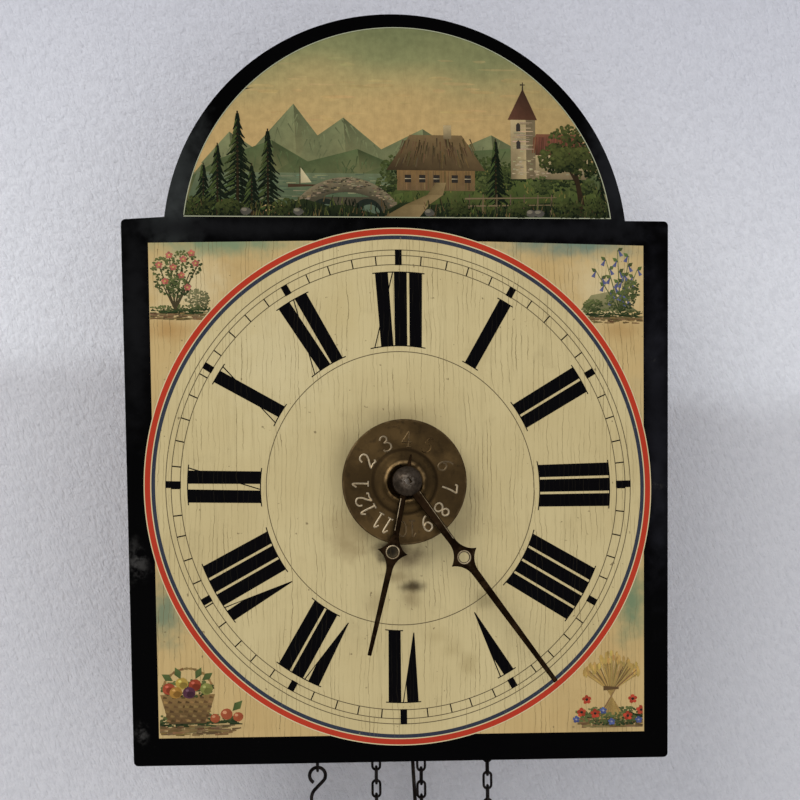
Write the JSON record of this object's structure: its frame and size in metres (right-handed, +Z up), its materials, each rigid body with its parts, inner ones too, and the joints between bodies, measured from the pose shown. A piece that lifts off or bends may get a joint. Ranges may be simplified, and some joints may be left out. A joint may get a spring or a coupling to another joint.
{
  "type": "shield clock with alarm",
  "caption": "Arched painted shield clock with hands, alarm disc, weight-driven chain trains in a wooden case, bell and rear pendulum, hung on a wall nail.",
  "frame": {"origin": "centre of the nail hole in the hanger strap, at the wall face", "axes": "+Z up, +X to the right seen from the front, -Y towards the viewer, +Y into the wall"},
  "size_m": [0.275, 0.1503, 0.5324],
  "materials": {
    "shield_lacquer": "black lacquer and oil paint on a limewood board",
    "case_wood": "aged beech, bare",
    "plate_wood": "aged spruce and beech, bare",
    "knob_wood": "turned and stained",
    "iron": "dark oiled iron",
    "weight_iron": "cast, blackened",
    "steel": "filed steel",
    "hand_steel": "dark browned steel",
    "disc_brass": "old brass with brown patina",
    "brass": "dull brass",
    "bell_metal": "cast bell metal",
    "wheel_wood": "turned beech with iron pegs"
  },
  "bodies": {
    "case": {"shield_board": "shield_lacquer", "shield_battens": "plate_wood", "batten_screws": "iron", "top_board": "case_wood", "bottom_board": "case_wood", "front_plate": "plate_wood", "rear_plate": "plate_wood", "wall_spacers": "plate_wood", "pivot_bushes": "brass", "hanger_strap": "iron", "hanger_screws": "iron", "door_hinge_pins": "iron", "suspension_cock": "brass", "motion_studs": "steel", "bell": "bell_metal", "bell_stand": "iron", "alarm_chain": "iron", "going_chain": "iron"},
    "left_door": {"left_door": "case_wood", "left_door_knob": "knob_wood"},
    "right_door": {"right_door": "case_wood", "right_door_knob": "knob_wood"},
    "great_set": {"great_arbor": "steel", "great_wheel": "brass", "going_chain_wheel": "wheel_wood", "going_click": "steel"},
    "centre_set": {"centre_arbor": "steel", "centre_wheel": "brass"},
    "third_set": {"third_arbor": "steel", "third_wheel": "brass"},
    "escape_set": {"escape_arbor": "steel", "escape_wheel": "brass"},
    "anchor_set": {"anchor_arbor": "steel", "anchor": "steel", "crutch": "steel"},
    "pendulum": {"pendulum_rod": "iron", "pendulum_bob": "brass", "rating_nut": "brass"},
    "minute_hand_set": {"cannon_pinion": "brass", "minute_hand": "hand_steel", "hand_nut": "hand_steel"},
    "minute_wheel": {"minute_wheel": "brass"},
    "hour_hand_set": {"hour_wheel": "brass", "hour_hand": "hand_steel"},
    "alarm_disc_set": {"alarm_disc": "disc_brass", "alarm_cam": "brass"},
    "alarm_detent": {"alarm_detent": "steel"},
    "alarm_wheel_set": {"alarm_arbor": "steel", "alarm_chain_wheel": "wheel_wood", "alarm_click": "steel", "alarm_wheel": "brass"},
    "hammer_set": {"hammer_arbor": "steel", "hammer_pallets": "steel", "bell_hammer": "iron"},
    "alarm_pull_ring": {"alarm_pull_ring": "iron"},
    "going_pull_ring": {"going_pull_ring": "iron"},
    "alarm_weight_set": {"alarm_weight_hook": "iron", "alarm_weight": "weight_iron"},
    "going_weight_set": {"going_weight_hook": "iron", "going_weight": "weight_iron"}
  },
  "joints": [
    {"name": "minute_hand_turn", "type": "hinge", "parent": "case", "child": "minute_hand_set", "pos_m": [0, -0.062, -0.11], "axis": [0, 1, 0], "continuous": true},
    {"name": "minute_wheel_turn", "type": "hinge", "parent": "case", "child": "minute_wheel", "pos_m": [0, -0.062, -0.134], "axis": [0, 1, 0], "continuous": true},
    {"name": "hour_hand_turn", "type": "hinge", "parent": "case", "child": "hour_hand_set", "pos_m": [0, -0.062, -0.11], "axis": [0, 1, 0], "continuous": true},
    {"name": "alarm_disc_turn", "type": "hinge", "parent": "hour_hand_set", "child": "alarm_disc_set", "pos_m": [0, -0.062, -0.11], "axis": [0, 1, 0], "continuous": true},
    {"name": "alarm_detent_lift", "type": "hinge", "parent": "case", "child": "alarm_detent", "pos_m": [-0.014, -0.062, -0.088], "axis": [0, 1, 0], "range_deg": [0, 8]},
    {"name": "pendulum_swing", "type": "hinge", "parent": "case", "child": "pendulum", "pos_m": [0.008, -0.014, -0.04257], "axis": [0, 1, 0], "range_deg": [0, 6]},
    {"name": "anchor_rock", "type": "hinge", "parent": "case", "child": "anchor_set", "pos_m": [0.008, -0.062, -0.04257], "axis": [0, 1, 0], "range_deg": [0, 6]},
    {"name": "escape_wheel_turn", "type": "hinge", "parent": "case", "child": "escape_set", "pos_m": [0.008, -0.062, -0.06519], "axis": [0, 1, 0], "range_deg": [0, 6]},
    {"name": "third_wheel_turn", "type": "hinge", "parent": "case", "child": "third_set", "pos_m": [0.01982, -0.062, -0.08798], "axis": [0, 1, 0], "range_deg": [-1, 1]},
    {"name": "centre_wheel_turn", "type": "hinge", "parent": "case", "child": "centre_set", "pos_m": [0, -0.062, -0.11], "axis": [0, 1, 0], "range_deg": [-1, 1]},
    {"name": "great_wheel_turn", "type": "hinge", "parent": "case", "child": "great_set", "pos_m": [0.0345, -0.062, -0.12545], "axis": [0, 1, 0], "range_deg": [-1, 1]},
    {"name": "hammer_swing", "type": "hinge", "parent": "case", "child": "hammer_set", "pos_m": [-0.03313, -0.062, -0.11361], "axis": [0, 1, 0], "range_deg": [-6, 1.2]},
    {"name": "alarm_wheel_turn", "type": "hinge", "parent": "case", "child": "alarm_wheel_set", "pos_m": [-0.0217, -0.062, -0.1334], "axis": [0, 1, 0], "range_deg": [-6, 1.2]},
    {"name": "left_door_open", "type": "hinge", "parent": "case", "child": "left_door", "pos_m": [-0.07251, -0.0311, -0.11], "axis": [0, 0, -1], "range_deg": [0, 100]},
    {"name": "right_door_open", "type": "hinge", "parent": "case", "child": "right_door", "pos_m": [0.07251, -0.0311, -0.11], "axis": [0, 0, 1], "range_deg": [0, 100]},
    {"name": "alarm_weight_swing", "type": "hinge", "parent": "case", "child": "alarm_weight_set", "pos_m": [-0.03698, -0.062, -0.25485], "axis": [0, 1, 0], "range_deg": [-3, 12]},
    {"name": "going_weight_swing", "type": "hinge", "parent": "case", "child": "going_weight_set", "pos_m": [0.05193, -0.062, -0.28694], "axis": [0, 1, 0], "range_deg": [-12, 10]},
    {"name": "alarm_ring_swing", "type": "hinge", "parent": "case", "child": "alarm_pull_ring", "pos_m": [-0.00642, -0.062, -0.27555], "axis": [0, 1, 0], "range_deg": [-15, 15]},
    {"name": "going_ring_swing", "type": "hinge", "parent": "case", "child": "going_pull_ring", "pos_m": [0.01707, -0.062, -0.29056], "axis": [0, 1, 0], "range_deg": [-15, 15]}
  ],
  "couplings": [
    {"joint": "minute_wheel_turn", "follows": "minute_hand_turn", "ratio": -0.33333},
    {"joint": "hour_hand_turn", "follows": "minute_hand_turn", "ratio": 0.083333},
    {"joint": "anchor_rock", "follows": "pendulum_swing", "ratio": 1},
    {"joint": "escape_wheel_turn", "follows": "pendulum_swing", "ratio": 1},
    {"joint": "third_wheel_turn", "follows": "pendulum_swing", "ratio": -0.097222},
    {"joint": "centre_wheel_turn", "follows": "pendulum_swing", "ratio": 0.0094522},
    {"joint": "great_wheel_turn", "follows": "pendulum_swing", "ratio": -0.0015754},
    {"joint": "alarm_wheel_turn", "follows": "hammer_swing", "ratio": 1}
  ]
}
